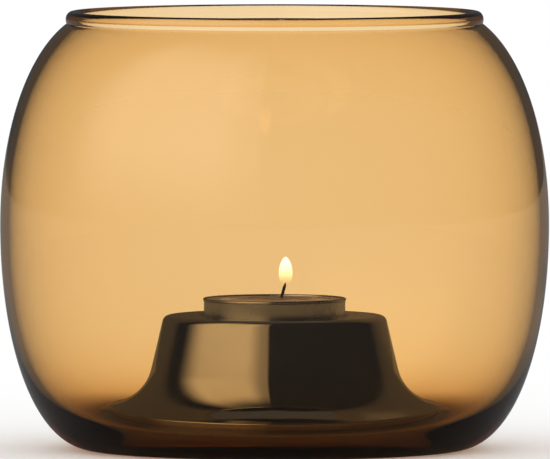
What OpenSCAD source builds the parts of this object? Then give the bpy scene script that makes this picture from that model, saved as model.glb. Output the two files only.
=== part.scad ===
// Tealight holder: a blown glass bowl with a loose polished steel insert
// that carries a tealight. Millimetres, +Z up, origin at the centre of the
// underside. Every piece is turned around Z, apart from the leaning wick.

/* [Bowl] */
// Widest diameter of the bowl
bowl_d = 144; // [136:1:152]
// Height of the bowl, foot to rim
bowl_h = 115; // [110:1:120]
// Height at which the bowl is widest
widest_z = 59; // [52:1:62]
// Diameter of the flat foot
foot_d = 95; // [90:1:98]
// Outer diameter of the lip
lip_d = 109.6; // [108:0.2:112]
// Clear diameter of the mouth
mouth_d = 102.8; // [100:0.2:104]
// Thickness of the wall at its widest
wall = 2.2; // [1.8:0.1:3]
// Thickness of the base, up to the inner floor
base_t = 5; // [3:0.5:6]

/* [Insert] */
// Height of the steel insert
insert_h = 30; // [28:1:36]
// Diameter of its flange
flange_d = 87.6; // [84:0.2:90]
// Angle of the skirt from upright
skirt_angle = 12.5; // [9:0.5:14]
// Radius of the flare between skirt and flange
flare_r = 16; // [14:0.5:17]
// Thickness of the steel
sheet = 1.2; // [0.8:0.1:1.5]

/* [Tealight] */
// Diameter of the tealight cup over its rim
cup_d = 37.6; // [36:0.2:38.4]
// Height of the cup
cup_h = 16; // [14:0.5:17]
// How far the cup stands above the insert
cup_proud = 4.7; // [3:0.1:6]
// Thickness of the wick
wick_d = 0.9; // [0.7:0.1:1.4]
// How far the wick leans over on its way up
wick_lean = 17; // [5:1:25]

/* [Hidden] */
$fn = 96;

// Bowl
bowl_r = bowl_d / 2;
foot_r = foot_d / 2;
lip_r = lip_d / 2;
mouth_r = mouth_d / 2;
lip_half = 2.1;          // half the height of the lip, which is an oval bead
lip_from = -28;          // where the bead starts, in degrees around its middle
lip_to = 215;            // where it ends on the inside
neck_drop = 3.2;         // depth of the neck under the bead, outside
neck_in = 0.25;          // how far the neck is drawn in
ledge_drop = 4.6;        // depth at which the inner wall starts under the bead
side_pull = 32;          // how long the side stays upright below its widest
foot_pull = 15.5;        // how far the foot runs out before it turns up
shoulder_pull = 24.5;    // how long the side stays upright above its widest
lip_pull = 13;           // how far the shoulder runs straight below the lip
shoulder_angle = 53;     // slope of the shoulder under the lip, from upright
floor_r = 46.5;          // flat part of the inner floor
floor_pull = 13.5;       // how far the inner floor runs out before it turns up
inner_pull = 34;         // how long the inside stays upright below its widest
ledge_w = 1;             // how far the inner wall starts outside the mouth
punt_r = 39;             // hollow under the base, which leaves a foot ring
punt_h = 1.2;
curve_steps = 22;

// Insert
flange_r = flange_d / 2;
flange_slope = 17;       // fall of the flange at its edge
flange_lip = 2.4;        // down-turned edge that stands on the glass
flange_edge = 0.5;       // rounding over that edge
shoulder_r = 2;          // rounding between the skirt and the top
pocket_edge = 1;         // rounding into the tealight's pocket
pocket_gap = 0.7;        // play around the cup
cup_r = cup_d / 2;
pocket_r = cup_r + pocket_gap;
pocket_floor = insert_h + cup_proud - cup_h;
insert_z = base_t;

// Tealight
cup_z = insert_z + pocket_floor;
cup_wall = 0.3;
cup_bead = 0.45;         // radius of the rolled rim
cup_step = 0.25;         // how far the rim stands out from the side
cup_corner = 1.2;
wax_edge = 1.1;          // how far the wax stays below the rim at its edge
wax_dome = 1.3;          // rise of the wax from edge to middle
tab_d = 14;
tab_t = 0.3;
neck_d = 2.4;
neck_h = 3;
wick_z = cup_wall + tab_t;
wick_top = 20;           // height of the wick's tip above the cup's underside
wick_bend = (wick_top - wick_z) / sin(wick_lean);

// A point of a cubic curve with the four control points p
function bezier(p, t) =
    pow(1 - t, 3) * p[0] + 3 * pow(1 - t, 2) * t * p[1]
    + 3 * (1 - t) * t * t * p[2] + pow(t, 3) * p[3];

// The curve's points after its first one
function curve(p) = [for (i = [1:curve_steps]) bezier(p, i / curve_steps)];

// Points along an arc around c, from angle a to angle b
function arc(c, r, a, b, n = 12) =
    [for (i = [0:n]) c + r * [cos(a + (b - a) * i / n), sin(a + (b - a) * i / n)]];

// Points along an oval with half width a and half height b around c
function oval(c, a, b, start, end, n) =
    [for (i = [0:n]) let (t = start + (end - start) * i / n) c + [a * cos(t), b * sin(t)]];

module turned(points) {
    rotate_extrude($fn = 96) polygon(points);
}

// The bowl's outline runs up its outside, over the lip and down its inside.
module glass_bowl() {
    shoulder_end = [lip_r - neck_in, bowl_h - neck_drop];
    down = [sin(shoulder_angle), -cos(shoulder_angle)];
    ledge_end = [mouth_r + ledge_w, bowl_h - ledge_drop];
    lip_w = (lip_r - mouth_r) / 2;
    inner_r = bowl_r - wall;
    punt_sphere = (punt_r * punt_r + punt_h * punt_h) / (2 * punt_h);
    punt_angle = asin(punt_r / punt_sphere);
    outside = concat(
        [[foot_r, 0]],
        curve([[foot_r, 0], [foot_r + foot_pull, 0],
               [bowl_r, widest_z - side_pull], [bowl_r, widest_z]]),
        curve([[bowl_r, widest_z], [bowl_r, widest_z + shoulder_pull],
               shoulder_end + lip_pull * down, shoulder_end]));
    lip = oval([mouth_r + lip_w, bowl_h - lip_half], lip_w, lip_half, lip_from, lip_to, 24);
    inside = concat(
        [ledge_end],
        curve([ledge_end, ledge_end + lip_pull * down,
               [inner_r, widest_z + shoulder_pull], [inner_r, widest_z]]),
        curve([[inner_r, widest_z], [inner_r, widest_z - inner_pull],
               [floor_r + floor_pull, base_t], [floor_r, base_t]]));
    underside = arc([0, punt_h - punt_sphere], punt_sphere, 90, 90 - punt_angle, 8);
    color([0.87, 0.62, 0.27, 0.5])
        turned(concat(outside, lip, inside, [[0, base_t]], underside));
}

// A pressed steel hat with a pocket in its crown and a flared flange. The
// flare's centre lies outside the steel, so both faces share their centres.
module steel_insert() {
    edge_c = [flange_r - flange_edge, flange_lip];
    tilt = 90 - flange_slope;
    flare_c = edge_c + (flange_edge + flare_r) * [cos(tilt), sin(tilt)];
    skirt_start = flare_c - flare_r * [cos(skirt_angle), sin(skirt_angle)];
    shoulder_z = insert_h - shoulder_r;
    shoulder_x = skirt_start.x - (shoulder_z - skirt_start.y) * tan(skirt_angle)
                 - shoulder_r / cos(skirt_angle);
    shoulder_c = [shoulder_x, shoulder_z];
    flare_step = (tilt - skirt_angle) / 16;
    inner_tilt = acos((flare_c.x - flange_r + sheet) / (flare_r + sheet));
    outside = concat(
        [[flange_r, 0]],
        arc(edge_c, flange_edge, 0, tilt, 5),
        arc(flare_c, -flare_r, tilt - flare_step, skirt_angle, 16),
        arc(shoulder_c, shoulder_r, skirt_angle, 90, 8));
    pocket = concat(
        arc([pocket_r + pocket_edge, insert_h - pocket_edge], pocket_edge, 90, 180, 6),
        [[pocket_r, pocket_floor], [0, pocket_floor], [0, pocket_floor - sheet],
         [pocket_r + sheet, pocket_floor - sheet],
         [pocket_r + sheet, insert_h - sheet]]);
    inside = concat(
        arc(shoulder_c, shoulder_r - sheet, 90, skirt_angle, 6),
        arc(flare_c, -flare_r - sheet, skirt_angle, inner_tilt, 16),
        [[flange_r - sheet, 0]]);
    color([0.72, 0.72, 0.72])
        translate([0, 0, insert_z]) turned(concat(outside, pocket, inside));
}

// A thin drawn cup with a rounded bottom corner and a rolled rim.
module tealight_cup() {
    side_r = cup_r - cup_step;
    bead_x = cup_r - cup_bead;
    from = -acos((side_r - bead_x) / cup_bead);
    to = 360 - acos((side_r - cup_wall - bead_x) / cup_bead);
    outside = arc([side_r - cup_corner, cup_corner], cup_corner, -90, 0, 8);
    bead = arc([bead_x, cup_h - cup_bead], cup_bead, from, to, 20);
    inside = arc([side_r - cup_corner, cup_corner], cup_corner - cup_wall, 0, -90, 8);
    color([0.78, 0.78, 0.8])
        translate([0, 0, cup_z])
            turned(concat([[0, 0]], outside, bead, inside, [[0, cup_wall]]));
}

// The wax fills the cup around the tab and the wick and is slightly domed.
module tealight_wax() {
    wax_r = cup_r - cup_step - cup_wall;
    edge_z = cup_h - wax_edge;
    dome_r = (wax_r * wax_r + wax_dome * wax_dome) / (2 * wax_dome);
    dome_angle = asin(wax_r / dome_r);
    corner = arc([cup_r - cup_step - cup_corner, cup_corner],
                 cup_corner - cup_wall, -90, 0, 8);
    dome = arc([0, edge_z + wax_dome - dome_r], dome_r, 90 - dome_angle, 90, 10);
    color([0.9, 0.86, 0.8])
        difference() {
            translate([0, 0, cup_z])
                turned(concat([[0, cup_wall]], corner, dome));
            tab_body();
            wick_rod(1);
        }
}

// The disc and neck that hold the wick upright on the cup's floor.
module tab_body() {
    translate([0, 0, cup_z + cup_wall]) {
        cylinder(d = tab_d, h = tab_t);
        cylinder(d = neck_d, h = neck_h);
    }
}

module wick_tab() {
    color([0.7, 0.7, 0.72])
        difference() {
            tab_body();
            wick_rod(1);
        }
}

// A rod bent to one side on a large circle, upright where it leaves the tab.
// extra lengthens it, so that a hole cut with it runs right through.
module wick_rod(extra = 0) {
    translate([wick_bend, 0, cup_z + wick_z])
        rotate([90, 0, 180])
            rotate_extrude(angle = wick_lean + extra, $fn = 360)
                translate([wick_bend, 0]) circle(d = wick_d, $fn = 24);
}

module wick() {
    color([0.2, 0.14, 0.1]) wick_rod();
}

glass_bowl();
steel_insert();
tealight_cup();
tealight_wax();
wick_tab();
wick();
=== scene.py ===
"""The looks of the tealight holder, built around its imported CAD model.

The camera looks along +Y. Sizes are given in millimetres and scaled by MM, and every outline is a
list of (radius, height) pairs that is turned around Z.
"""
import math

import bmesh
import bpy
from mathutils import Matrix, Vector, noise

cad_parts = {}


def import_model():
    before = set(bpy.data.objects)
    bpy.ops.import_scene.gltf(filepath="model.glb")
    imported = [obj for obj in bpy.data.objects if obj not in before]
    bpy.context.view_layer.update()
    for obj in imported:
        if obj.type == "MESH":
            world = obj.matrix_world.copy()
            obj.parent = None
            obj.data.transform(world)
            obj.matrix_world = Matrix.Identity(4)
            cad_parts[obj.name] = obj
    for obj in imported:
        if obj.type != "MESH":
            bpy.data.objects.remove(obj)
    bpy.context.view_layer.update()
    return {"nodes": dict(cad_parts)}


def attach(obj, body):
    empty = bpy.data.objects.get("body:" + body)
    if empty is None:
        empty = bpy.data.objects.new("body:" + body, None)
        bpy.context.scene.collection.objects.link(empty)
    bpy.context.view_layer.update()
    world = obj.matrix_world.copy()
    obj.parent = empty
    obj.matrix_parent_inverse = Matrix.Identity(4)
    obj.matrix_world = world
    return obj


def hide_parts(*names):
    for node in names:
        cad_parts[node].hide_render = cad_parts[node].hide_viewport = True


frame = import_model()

MM = 0.001

# Bowl, with the lip an oval bead
BOWL_R, BOWL_H, WIDEST_Z = 72, 115, 59
FOOT_R, LIP_R, MOUTH_R = 47.5, 54.8, 51.4
WALL, BASE_T = 2.2, 5
LIP_HALF, LIP_FROM, LIP_TO = 2.1, math.radians(-28), math.radians(215)
NECK_DROP, NECK_IN, LEDGE_DROP, LEDGE_W = 3.2, 0.25, 4.6, 1
SIDE_PULL, FOOT_PULL, SHOULDER_PULL, LIP_PULL = 32, 15.5, 24.5, 13
SHOULDER_ANGLE = math.radians(53)
FLOOR_R, FLOOR_PULL, INNER_PULL = 46.5, 13.5, 34
PUNT_R, PUNT_H = 39, 1.2

# Insert
INSERT_Z, INSERT_H, FLANGE_R = BASE_T, 30, 43.8
SKIRT_ANGLE, FLANGE_SLOPE = math.radians(12.5), math.radians(17)
FLARE_R, SHEET, FLANGE_LIP, FLANGE_EDGE = 16, 1.2, 2.4, 0.5
SHOULDER_R, POCKET_R, POCKET_EDGE = 2, 19.5, 1

# Tealight
CUP_R, CUP_H, CUP_PROUD = 18.8, 16, 4.7
POCKET_FLOOR = INSERT_H + CUP_PROUD - CUP_H
CUP_Z = INSERT_Z + POCKET_FLOOR
CUP_WALL, CUP_BEAD, CUP_STEP, CUP_CORNER = 0.3, 0.45, 0.25, 1.2
WAX_EDGE, WAX_DOME = 1.1, 1.3

# Wick, which bends over on a large circle from the tab to its tip
TAB_TOP, WICK_TOP = 0.6, 20
WICK_LEAN = math.radians(17)
WICK_BEND = (WICK_TOP - TAB_TOP) / math.sin(WICK_LEAN)

# Flame
FLAME_X, FLAME_LOW, FLAME_TOP, FLAME_R = 2.9, 43.1, 50.6, 1.8

# Looks. The glass's colour is split between its faces and its depth.
GLASS_TINT = (1, 0.9, 0.73, 1)
GLASS_DEPTH_COLOUR = (0.95, 0.64, 0.05, 1)
GLASS_DENSITY = 200

# Light: the softbox as mirrored by gloss, and the even light on matt surfaces
SOFTBOX, AROUND, BEHIND, DIM = 0.95, 1.0, 0.07, 0.003
PAINTED_SHADE_R, PAPER_R = 0.03, 0.08     # metres from the axis, dark painted shade inside and pale outside; the camera sees only the pale paper
PAPER_IN_GLOSS = 0.1           # how bright the paper looks in reflections, where the rest is painted shade from the dark sheet


def curve(points, steps=48):
    """The points of a cubic curve after its first one."""
    out = []
    for i in range(1, steps + 1):
        t = i / steps
        weights = ((1 - t) ** 3, 3 * (1 - t) ** 2 * t, 3 * (1 - t) * t * t, t ** 3)
        out.append(tuple(sum(w * p[k] for w, p in zip(weights, points)) for k in (0, 1)))
    return out


def arc(centre, radius, start, end, steps=12):
    """Points on an arc, with its angles in radians."""
    angles = [start + (end - start) * i / steps for i in range(steps + 1)]
    return [(centre[0] + radius * math.cos(a), centre[1] + radius * math.sin(a)) for a in angles]


def oval(centre, wide, high, start, end, steps):
    """Points on an oval with half width wide and half height high."""
    angles = [start + (end - start) * i / steps for i in range(steps + 1)]
    return [(centre[0] + wide * math.cos(a), centre[1] + high * math.sin(a)) for a in angles]


def make_object(name, bm, sharp=35):
    bmesh.ops.recalc_face_normals(bm, faces=bm.faces)
    mesh = bpy.data.meshes.new(name)
    bm.to_mesh(mesh)
    bm.free()
    mesh.polygons.foreach_set("use_smooth", [True] * len(mesh.polygons))
    mesh.set_sharp_from_angle(angle=math.radians(sharp))
    obj = bpy.data.objects.new(name, mesh)
    bpy.context.scene.collection.objects.link(obj)
    return obj


def lathe(name, outline, segments=256, shape=None, sharp=35):
    """A closed mesh turned from a closed outline. shape(r, angle, z) may move each point."""
    bm = bmesh.new()
    rings = []
    for r, z in outline:
        ring = []
        for i in range(segments if r > 1e-6 else 1):
            angle = 2 * math.pi * i / segments
            rr, zz = shape(r, angle, z) if shape else (r, z)
            ring.append(bm.verts.new((rr * MM * math.cos(angle), rr * MM * math.sin(angle), zz * MM)))
        rings.append(ring if len(ring) > 1 else ring * segments)
    for a, b in zip(rings, rings[1:] + rings[:1]):
        for i in range(segments):
            j = (i + 1) % segments
            corners = list(dict.fromkeys((a[i], a[j], b[j], b[i])))
            if len(corners) > 2:
                bm.faces.new(corners)
    return make_object(name, bm, sharp)


# Outlines

def bowl_outline():
    shoulder = (LIP_R - NECK_IN, BOWL_H - NECK_DROP)
    dx, dz = LIP_PULL * math.sin(SHOULDER_ANGLE), -LIP_PULL * math.cos(SHOULDER_ANGLE)
    ledge = (MOUTH_R + LEDGE_W, BOWL_H - LEDGE_DROP)
    inner = BOWL_R - WALL
    punt = (PUNT_R ** 2 + PUNT_H ** 2) / (2 * PUNT_H)
    punt_angle = math.asin(PUNT_R / punt)
    outside = [(FOOT_R, 0)]
    outside += curve([(FOOT_R, 0), (FOOT_R + FOOT_PULL, 0),
                      (BOWL_R, WIDEST_Z - SIDE_PULL), (BOWL_R, WIDEST_Z)])
    outside += curve([(BOWL_R, WIDEST_Z), (BOWL_R, WIDEST_Z + SHOULDER_PULL),
                      (shoulder[0] + dx, shoulder[1] + dz), shoulder])
    lip_w = (LIP_R - MOUTH_R) / 2
    lip = oval((MOUTH_R + lip_w, BOWL_H - LIP_HALF), lip_w, LIP_HALF, LIP_FROM, LIP_TO, 30)
    inside = [ledge]
    inside += curve([ledge, (ledge[0] + dx, ledge[1] + dz),
                     (inner, WIDEST_Z + SHOULDER_PULL), (inner, WIDEST_Z)])
    inside += curve([(inner, WIDEST_Z), (inner, WIDEST_Z - INNER_PULL), (FLOOR_R + FLOOR_PULL, BASE_T),
                     (FLOOR_R, BASE_T)])
    under = arc((0, PUNT_H - punt), punt, math.pi / 2, math.pi / 2 - punt_angle, 10)
    return outside + lip + inside + [(0, BASE_T)] + under


def insert_outline():
    edge = (FLANGE_R - FLANGE_EDGE, FLANGE_LIP)
    tilt = math.pi / 2 - FLANGE_SLOPE
    reach = FLANGE_EDGE + FLARE_R
    flare = (edge[0] + reach * math.cos(tilt), edge[1] + reach * math.sin(tilt))
    skirt = (flare[0] - FLARE_R * math.cos(SKIRT_ANGLE), flare[1] - FLARE_R * math.sin(SKIRT_ANGLE))
    shoulder_z = INSERT_H - SHOULDER_R
    shoulder_x = (skirt[0] - (shoulder_z - skirt[1]) * math.tan(SKIRT_ANGLE)
                  - SHOULDER_R / math.cos(SKIRT_ANGLE))
    shoulder = (shoulder_x, shoulder_z)
    inner_tilt = math.acos((flare[0] - FLANGE_R + SHEET) / (FLARE_R + SHEET))
    step = (tilt - SKIRT_ANGLE) / 32
    outside = [(FLANGE_R, 0)] + arc(edge, FLANGE_EDGE, 0, tilt, 8)
    outside += arc(flare, -FLARE_R, tilt - step, SKIRT_ANGLE, 32)
    outside += arc(shoulder, SHOULDER_R, SKIRT_ANGLE, math.pi / 2, 14)
    pocket = arc((POCKET_R + POCKET_EDGE, INSERT_H - POCKET_EDGE), POCKET_EDGE, math.pi / 2, math.pi, 10)
    pocket += [(POCKET_R, POCKET_FLOOR), (0, POCKET_FLOOR), (0, POCKET_FLOOR - SHEET),
               (POCKET_R + SHEET, POCKET_FLOOR - SHEET), (POCKET_R + SHEET, INSERT_H - SHEET)]
    inside = arc(shoulder, SHOULDER_R - SHEET, math.pi / 2, SKIRT_ANGLE, 8)
    inside += arc(flare, -FLARE_R - SHEET, SKIRT_ANGLE, inner_tilt, 32)
    inside += [(FLANGE_R - SHEET, 0)]
    return [(r, z + INSERT_Z) for r, z in outside + pocket + inside]


def cup_outline():
    side = CUP_R - CUP_STEP
    bead = (CUP_R - CUP_BEAD, CUP_H - CUP_BEAD)
    start = -math.acos((side - bead[0]) / CUP_BEAD)
    end = 2 * math.pi - math.acos((side - CUP_WALL - bead[0]) / CUP_BEAD)
    corner = (side - CUP_CORNER, CUP_CORNER)
    outside = arc(corner, CUP_CORNER, -math.pi / 2, 0, 8)
    outside += [(side, CUP_CORNER + (CUP_H - CUP_CORNER) * k / 8) for k in range(1, 8)]
    inside = arc(corner, CUP_CORNER - CUP_WALL, 0, -math.pi / 2, 8)
    points = [(0, 0)] + outside + arc(bead, CUP_BEAD, start, end, 20) + inside + [(0, CUP_WALL)]
    return [(r, z + CUP_Z) for r, z in points]


def wax_outline():
    side = CUP_R - CUP_STEP - CUP_WALL
    dome = (side ** 2 + WAX_DOME ** 2) / (2 * WAX_DOME)
    dome_angle = math.asin(side / dome)
    top = CUP_H - WAX_EDGE
    points = [(0, TAB_TOP)] + arc((CUP_R - CUP_STEP - CUP_CORNER, CUP_CORNER), CUP_CORNER - CUP_WALL,
                                  -math.pi / 2, 0, 8)
    points += arc((0, top + WAX_DOME - dome), dome, math.pi / 2 - dome_angle, math.pi / 2, 40)
    return [(r, z + CUP_Z) for r, z in points]


# Materials

def material(name):
    """A new material, its node tree and its shader."""
    mat = bpy.data.materials.new(name)
    mat.use_nodes = True
    tree = mat.node_tree
    return mat, tree, tree.nodes["Principled BSDF"]


def add(tree, kind, links=(), **values):
    """A node with its inputs set by name, and (output, input name) links into it."""
    node = tree.nodes.new(kind)
    for name, value in values.items():
        if hasattr(node, name):
            setattr(node, name, value)
        else:
            node.inputs[name.replace("_", " ")].default_value = value
    for output, name in links:
        tree.links.new(output, node.inputs[name])
    return node


def object_noise(tree, stretch=(1, 1, 1), **values):
    """Noise in object space, stretched along each axis."""
    where = add(tree, "ShaderNodeTexCoord")
    scaled = add(tree, "ShaderNodeMapping", [(where.outputs["Object"], "Vector")])
    scaled.inputs["Scale"].default_value = stretch
    return add(tree, "ShaderNodeTexNoise", [(scaled.outputs["Vector"], "Vector")], **values).outputs["Fac"]


def remap(tree, value, low, high, start=0.0, end=1.0):
    """Takes value smoothly from start at low to end at high."""
    node = add(tree, "ShaderNodeMapRange", [(value, "Value")])
    node.interpolation_type = "SMOOTHSTEP"
    for name, number in (("From Min", low), ("From Max", high), ("To Min", start), ("To Max", end)):
        node.inputs[name].default_value = number
    return node.outputs["Result"]


def blend(tree, factor, dark, light):
    """A colour between dark and light."""
    ramp = add(tree, "ShaderNodeValToRGB", [(factor, "Fac")])
    ramp.color_ramp.elements[0].color = (*dark, 1)
    ramp.color_ramp.elements[1].color = (*light, 1)
    return ramp.outputs["Color"]


def raise_surface(tree, shader, height, distance):
    """Bumps the shader's surface by height, up to distance in metres."""
    bump = add(tree, "ShaderNodeBump", [(height, "Height")])
    bump.inputs["Distance"].default_value = distance
    tree.links.new(bump.outputs["Normal"], shader.inputs["Normal"])


def glass_material():
    """Blown glass: slow swells in the wall, drawn out around the bowl."""
    mat, tree, shader = material("amber_glass")
    shader.inputs["Base Color"].default_value = GLASS_TINT
    shader.inputs["Roughness"].default_value = 0
    shader.inputs["IOR"].default_value = 1.5
    shader.inputs["Transmission Weight"].default_value = 1
    raise_surface(tree, shader, object_noise(tree, (1, 1, 1.6), Scale=24, Detail=1), 0.00012)
    volume = add(tree, "ShaderNodeVolumeAbsorption")
    volume.inputs["Color"].default_value = GLASS_DEPTH_COLOUR
    volume.inputs["Density"].default_value = GLASS_DENSITY
    tree.links.new(volume.outputs["Volume"], tree.nodes["Material Output"].inputs["Volume"])
    return mat


def steel_material():
    """Mirror polish with faint lathe rings, soft smears and a few drier patches."""
    mat, tree, shader = material("polished_steel")
    shader.inputs["Metallic"].default_value = 1
    smear = object_noise(tree, Scale=55, Detail=4)
    tree.links.new(blend(tree, smear, (0.54, 0.52, 0.50), (0.63, 0.61, 0.59)), shader.inputs["Base Color"])
    tree.links.new(remap(tree, smear, 0.35, 0.7, 0.03, 0.09), shader.inputs["Roughness"])
    rings = object_noise(tree, (0.02, 0.02, 1), Scale=2600, Detail=2)
    raise_surface(tree, shader, rings, 0.0000015)
    return mat


def foil_material():
    """Thin drawn aluminium with fine upright creases."""
    mat, tree, shader = material("cup_foil")
    shader.inputs["Metallic"].default_value = 1
    tone = object_noise(tree, Scale=140, Detail=3)
    tree.links.new(blend(tree, tone, (0.66, 0.66, 0.67), (0.86, 0.86, 0.87)), shader.inputs["Base Color"])
    tree.links.new(remap(tree, tone, 0.3, 0.7, 0.22, 0.34), shader.inputs["Roughness"])
    raise_surface(tree, shader, object_noise(tree, (1, 1, 0.12), Scale=620, Detail=3), 0.00007)
    return mat


def wax_material():
    """Paraffin: milky, wet and darker where it has melted around the wick."""
    mat, tree, shader = material("wax")
    where = add(tree, "ShaderNodeTexCoord")
    part = add(tree, "ShaderNodeSeparateXYZ", [(where.outputs["Object"], "Vector")])
    flat = add(tree, "ShaderNodeCombineXYZ", [(part.outputs["X"], "X"), (part.outputs["Y"], "Y")])
    reach = add(tree, "ShaderNodeVectorMath", [(flat.outputs["Vector"], 0)])
    reach.operation = "LENGTH"
    melted = remap(tree, reach.outputs["Value"], 0.006, 0.014, 0.0, 1.0)
    tree.links.new(blend(tree, melted, (0.34, 0.24, 0.19), (0.55, 0.42, 0.34)), shader.inputs["Base Color"])
    tree.links.new(remap(tree, melted, 0, 1, 0.12, 0.45), shader.inputs["Roughness"])
    shader.inputs["Subsurface Weight"].default_value = 0.3
    shader.inputs["Subsurface Radius"].default_value = (0.004, 0.0025, 0.0015)
    shader.inputs["Subsurface Scale"].default_value = 1
    raise_surface(tree, shader, object_noise(tree, Scale=260, Detail=3), 0.00009)
    return mat


def tab_material():
    """Tinned steel with a dull, uneven tone."""
    mat, tree, shader = material("tab_steel")
    shader.inputs["Metallic"].default_value = 1
    tone = object_noise(tree, Scale=500, Detail=3)
    tree.links.new(blend(tree, tone, (0.42, 0.42, 0.43), (0.62, 0.62, 0.63)), shader.inputs["Base Color"])
    tree.links.new(remap(tree, tone, 0.3, 0.7, 0.3, 0.45), shader.inputs["Roughness"])
    return mat


def wick_material():
    """Charred cotton, greyer and ashy in places."""
    mat, tree, shader = material("wick_cotton")
    shader.inputs["Roughness"].default_value = 0.9
    ash = object_noise(tree, Scale=1500, Detail=4)
    char = blend(tree, ash, (0.004, 0.003, 0.0025), (0.035, 0.022, 0.016))
    tree.links.new(char, shader.inputs["Base Color"])
    raise_surface(tree, shader, ash, 0.0001)
    return mat


def flame_material():
    """Clear at the foot of the flame, yellow above it and white in its upper part."""
    mat, tree, shader = material("flame")
    where = add(tree, "ShaderNodeTexCoord")
    part = add(tree, "ShaderNodeSeparateXYZ", [(where.outputs["Object"], "Vector")])
    low, top = FLAME_LOW * MM, FLAME_TOP * MM
    rise = remap(tree, part.outputs["Z"], low, top)
    glow = add(tree, "ShaderNodeEmission")
    glow.inputs["Strength"].default_value = 2.5
    tree.links.new(blend(tree, rise, (1, 0.62, 0.26), (1, 0.97, 0.86)), glow.inputs["Color"])
    clear = add(tree, "ShaderNodeBsdfTransparent")
    edge = add(tree, "ShaderNodeLayerWeight", Blend=0.25)
    body = add(tree, "ShaderNodeMath", [(remap(tree, part.outputs["Z"], low, low + (top - low) * 0.8), 0),
                                        (remap(tree, edge.outputs["Facing"], 0.35, 0.95, 1, 0), 1)])
    body.operation = "MULTIPLY"
    mix = add(tree, "ShaderNodeMixShader", [(body.outputs["Value"], 0), (clear.outputs["BSDF"], 1),
                                            (glow.outputs["Emission"], 2)])
    tree.links.new(mix.outputs["Shader"], tree.nodes["Material Output"].inputs["Surface"])
    tree.nodes.remove(shader)
    return mat


# Shapes that aren't simply turned

def wax_shape(r, angle, z):
    """The wax set unevenly: low swells over its top, which die out at the cup and the tab."""
    top = CUP_Z + CUP_H - WAX_EDGE
    if z < top + 0.02:
        return r, z
    swell = noise.noise(Vector((r * math.cos(angle), r * math.sin(angle), 3)) * 0.22)
    return r, z + 0.3 * swell * min(1, (z - top) / 0.5)


def strand(bm, phase, strand_r=0.24, offset=0.2, turns=7, steps=150, sides=10):
    """One of the wick's three strands, wound around its bent centre line and pointed at its tip."""
    rings = []
    for i in range(steps + 1):
        t = i / steps
        lean = WICK_LEAN * t
        taper = min(1, 0.3 + 12 * (1 - t))
        centre = Vector((WICK_BEND * (1 - math.cos(lean)), 0, CUP_Z + TAB_TOP + WICK_BEND * math.sin(lean)))
        across = Vector((math.cos(lean), 0, -math.sin(lean)))
        wind = phase + 2 * math.pi * turns * t
        middle = centre + (across * math.cos(wind) + Vector((0, 1, 0)) * math.sin(wind)) * offset * taper
        ring = []
        for k in range(sides):
            a = 2 * math.pi * k / sides
            point = middle + (across * math.cos(a) + Vector((0, 1, 0)) * math.sin(a)) * strand_r * taper
            ring.append(bm.verts.new(point * MM))
        rings.append(ring)
    for a, b in zip(rings, rings[1:]):
        for k in range(sides):
            j = (k + 1) % sides
            bm.faces.new((a[k], a[j], b[j], b[k]))
    bm.faces.new(rings[0][::-1])
    bm.faces.new(rings[-1])


def wick_braid():
    bm = bmesh.new()
    for k in range(3):
        strand(bm, 2 * math.pi * k / 3)
    return make_object("wick_braid", bm, 60)


def flame_shape():
    """A small egg with a blunt tip, on the wick."""
    side = curve([(0, FLAME_LOW), (FLAME_R * 1.5, FLAME_LOW),
                  (FLAME_R * 1.15, FLAME_TOP - 0.9), (0, FLAME_TOP)], 24)
    obj = lathe("flame", [(0, FLAME_LOW)] + side, 32, sharp=180)
    for vert in obj.data.vertices:
        vert.co.x += FLAME_X * MM
    return obj


def give(obj, mat, body, *nodes, slot=None):
    """Paints a piece, rides it on its body and lets it stand in for its CAD nodes."""
    obj.data.materials.clear()
    obj.data.materials.append(mat)
    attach(obj, body)
    if nodes:
        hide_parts(*nodes)


give(lathe("bowl", bowl_outline(), 320), glass_material(), "bowl", "glass_bowl", slot="amber_glass")
give(lathe("insert", insert_outline(), 256), steel_material(), "insert", "steel_insert",
     slot="polished_steel")
give(lathe("cup", cup_outline(), 256), foil_material(), "tealight", "tealight_cup", slot="cup_foil")
give(lathe("wax", wax_outline(), 192, wax_shape), wax_material(), "tealight", "tealight_wax", slot="wax")
give(wick_braid(), wick_material(), "tealight", "wick", slot="wick_cotton")
flame = flame_shape()
flame.visible_glossy = False
give(flame, flame_material(), "tealight")
frame["nodes"]["wick_tab"].data.materials[0] = tab_material()


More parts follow.
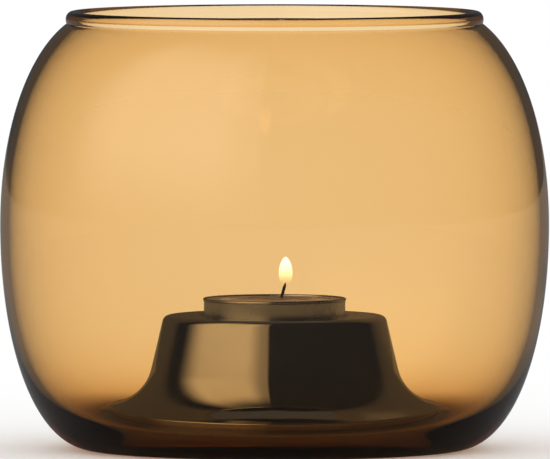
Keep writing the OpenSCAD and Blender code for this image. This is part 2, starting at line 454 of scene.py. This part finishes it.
def floor():
    """Pale paint, always pale to the camera. Glass and steel see painted shade on it near the object and in
    reflections, a dark sheet that the camera doesn't see.
    """
    bm = bmesh.new()
    bmesh.ops.create_circle(bm, cap_ends=True, radius=6, segments=96)
    obj = make_object("floor", bm)
    mat, tree, shader = material("floor_paint")
    shader.inputs["Base Color"].default_value = (0.9, 0.9, 0.9, 1)
    shader.inputs["Roughness"].default_value = 1
    shader.inputs["Specular IOR Level"].default_value = 0
    shader.inputs["Emission Color"].default_value = (1, 1, 1, 1)
    shader.inputs["Emission Strength"].default_value = 0.1
    # Painted shade: a dark sheet, seen near the object and in reflections but never by the camera.
    painted_shade_sheet = add(tree, "ShaderNodeBsdfDiffuse")
    painted_shade_sheet.inputs["Color"].default_value = (0.09, 0.09, 0.09, 1)
    where = add(tree, "ShaderNodeTexCoord")
    reach = add(tree, "ShaderNodeVectorMath", [(where.outputs["Object"], 0)])
    reach.operation = "LENGTH"
    # The painted shade fades to pale paper between these radii.
    far = remap(tree, reach.outputs["Value"], PAINTED_SHADE_R, PAPER_R)
    # Painted shade in reflections: there the paper keeps only PAPER_IN_GLOSS of its brightness.
    path = add(tree, "ShaderNodeLightPath")
    direct = add(tree, "ShaderNodeMapRange", [(path.outputs["Glossy Depth"], "Value")])
    direct.inputs["To Min"].default_value = 1
    direct.inputs["To Max"].default_value = PAPER_IN_GLOSS
    through = add(tree, "ShaderNodeMath", [(far, 0), (direct.outputs["Result"], 1)])
    through.operation = "MULTIPLY"
    # The camera always sees the pale paper; all other rays see the painted shade near the object.
    pale = add(tree, "ShaderNodeMath", [(through.outputs["Value"], 0), (path.outputs["Is Camera Ray"], 1)])
    pale.operation = "MAXIMUM"
    mix = add(tree, "ShaderNodeMixShader", [(pale.outputs["Value"], 0), (painted_shade_sheet.outputs["BSDF"], 1),
                                            (shader.outputs["BSDF"], 2)])
    tree.links.new(mix.outputs["Shader"], tree.nodes["Material Output"].inputs["Surface"])
    obj.data.materials.append(mat)


floor()


def world():
    """Even light on matt surfaces and through glass. Gloss sees a dark studio with one softbox."""
    scene = bpy.context.scene
    scene.world = bpy.data.worlds.new("studio")
    scene.world.use_nodes = True
    tree = scene.world.node_tree
    path = add(tree, "ShaderNodeLightPath")
    way = add(tree, "ShaderNodeTexCoord")
    turn = add(tree, "ShaderNodeSeparateXYZ", [(way.outputs["Generated"], 0)])

    def maths(operation, *inputs):
        node = tree.nodes.new("ShaderNodeMath")
        node.operation = operation
        for k, value in enumerate(inputs):
            if isinstance(value, bpy.types.NodeSocket):
                tree.links.new(value, node.inputs[k])
            else:
                node.inputs[k].default_value = value
        return node.outputs[0]

    def ramp(value, low, high, start=0.0, end=1.0):
        return remap(tree, value, low, high, start, end)

    x, y, z = (turn.outputs[k] for k in range(3))
    azimuth = maths("ARCTAN2", x, maths("MULTIPLY", y, -1))     # 0 towards the camera, + to the right
    height = maths("ARCSINE", z)
    deg = math.radians
    edges = maths("MULTIPLY", ramp(azimuth, deg(-106), deg(-76)), ramp(azimuth, deg(-8), deg(-5), 1, 0))
    side = maths("MULTIPLY", edges, ramp(azimuth, deg(-30), deg(-10), 1, 0.4))
    up = maths("MULTIPLY", ramp(height, deg(-6), deg(22)), ramp(height, deg(50), deg(80), 1, 0))
    softbox = maths("MULTIPLY", side, up)
    far = maths("ABSOLUTE", azimuth)
    behind = maths("MULTIPLY", ramp(far, deg(112), deg(130)), BEHIND)
    seen = maths("ADD", maths("MULTIPLY", softbox, SOFTBOX), maths("ADD", behind, DIM))
    mirrored = maths("GREATER_THAN", path.outputs["Glossy Depth"], 0.5)
    lit = maths("GREATER_THAN", path.outputs["Diffuse Depth"], 0.5)
    for_glass = maths("ADD", maths("MULTIPLY", mirrored, seen), maths("SUBTRACT", 1, mirrored))
    unlit = maths("SUBTRACT", 1, lit)
    strength = maths("ADD", maths("MULTIPLY", lit, AROUND), maths("MULTIPLY", unlit, for_glass))
    background = tree.nodes["Background"]
    tree.links.new(strength, background.inputs["Strength"])
    background.inputs["Color"].default_value = (1, 1, 1, 1)
    scene.world.cycles.sampling_method = "NONE"


world()


def camera():
    """The photograph's view: from the front, a little above the middle of the bowl."""
    distance, elevation, across = 4.5, math.radians(2.75), 0.1443
    data = bpy.data.cameras.new("camera")
    data.sensor_width = 36
    data.lens = 36 * distance / across
    data.clip_end = 200
    obj = bpy.data.objects.new("camera", data)
    bpy.context.scene.collection.objects.link(obj)
    aim = Vector((0.0001, 0, 0.0577))
    back = Vector((0, -math.cos(elevation), math.sin(elevation)))
    obj.location = aim + back * distance
    obj.rotation_euler = (-back).to_track_quat("-Z", "Y").to_euler()
    bpy.context.scene.camera = obj


camera()
scene = bpy.context.scene
scene.view_settings.view_transform = "Standard"
scene.cycles.max_bounces = 24
scene.cycles.transmission_bounces = 24
scene.cycles.glossy_bounces = 16
scene.cycles.use_denoising = True
